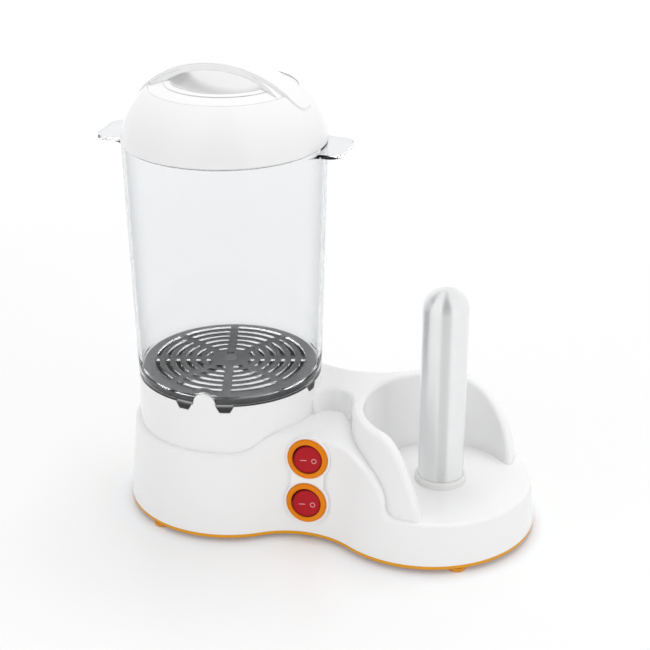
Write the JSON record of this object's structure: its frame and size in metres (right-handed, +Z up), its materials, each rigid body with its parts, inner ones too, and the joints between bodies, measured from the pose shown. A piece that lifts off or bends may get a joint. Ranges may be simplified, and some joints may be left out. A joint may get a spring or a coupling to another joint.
{
  "type": "hot dog steamer",
  "caption": "Countertop hot dog steamer: clear lift-off jar with domed lid over a heated pan, bun-warming spike in an open well, two round rocker switches.",
  "frame": {"origin": "under the middle of the whole object, on the surface that it stands on", "axes": "+X from the jar towards the bun spike, +Y away from the switch panel, +Z up"},
  "size_m": [0.2568, 0.126, 0.2712],
  "materials": {
    "white_housing": "moulded gloss with a faint satin texture",
    "orange_plate": "moulded satin",
    "orange_feet": "matte",
    "screw_steel": "zinc plated",
    "pan_steel": "spun, dark coated",
    "seal_rubber": "silicone",
    "cast_aluminium": "as cast",
    "element_steel": "heat tinted",
    "bracket_steel": "pressed sheet, zinc plated",
    "sensor_black": "matte",
    "spike_aluminium": "polished",
    "collar_white": "satin",
    "insulator_white": "matte",
    "switch_orange": "moulded gloss",
    "rocker_red": "moulded gloss with light marks",
    "terminal_brass": "stamped",
    "gland_black": "moulded",
    "lead_insulation": "silicone sleeve",
    "jar_clear": "clear moulded plastic",
    "lid_white": "moulded gloss"
  },
  "bodies": {
    "root": {"housing": "white_housing", "base_plate": "orange_plate", "feet": "orange_feet", "base_screws": "screw_steel", "heating_pan": "pan_steel", "pan_seal": "seal_rubber", "heater_plate": "cast_aluminium", "heating_element": "element_steel", "pan_yoke": "bracket_steel", "pan_nut": "screw_steel", "pan_thermostat": "sensor_black", "thermal_fuse": "sensor_black", "bun_spike": "spike_aluminium", "spike_collar": "collar_white", "spike_clamp": "bracket_steel", "clamp_screws": "screw_steel", "spike_heater": "element_steel", "spike_insulators": "insulator_white", "upper_switch": "switch_orange", "lower_switch": "switch_orange", "switch_terminals": "terminal_brass", "cable_gland": "gland_black", "gland_nut": "gland_black", "terminal_block": "insulator_white", "live_lead_lower": "lead_insulation", "live_lead_upper": "lead_insulation", "pan_lead": "lead_insulation", "return_lead": "lead_insulation", "spike_lead": "lead_insulation", "earth_lead": "lead_insulation"},
    "jar": {"jar": "jar_clear"},
    "lid": {"lid": "lid_white"},
    "upper_rocker": {"upper_rocker": "rocker_red"},
    "lower_rocker": {"lower_rocker": "rocker_red"}
  },
  "joints": [
    {"name": "jar_lift", "type": "slide", "parent": "root", "child": "jar", "axis": [0, 0, 1], "range_m": [0, 0.06]},
    {"name": "lid_lift", "type": "slide", "parent": "jar", "child": "lid", "axis": [0, 0, 1], "range_m": [0, 0.12]},
    {"name": "upper_rocker_tilt", "type": "hinge", "parent": "root", "child": "upper_rocker", "pos_m": [0.00359, -0.04013, 0.05244], "axis": [0, -0.1115, -0.9938], "range_deg": [0, 14]},
    {"name": "lower_rocker_tilt", "type": "hinge", "parent": "root", "child": "lower_rocker", "pos_m": [0.00359, -0.04315, 0.02551], "axis": [0, -0.1115, -0.9938], "range_deg": [0, 14]}
  ]
}
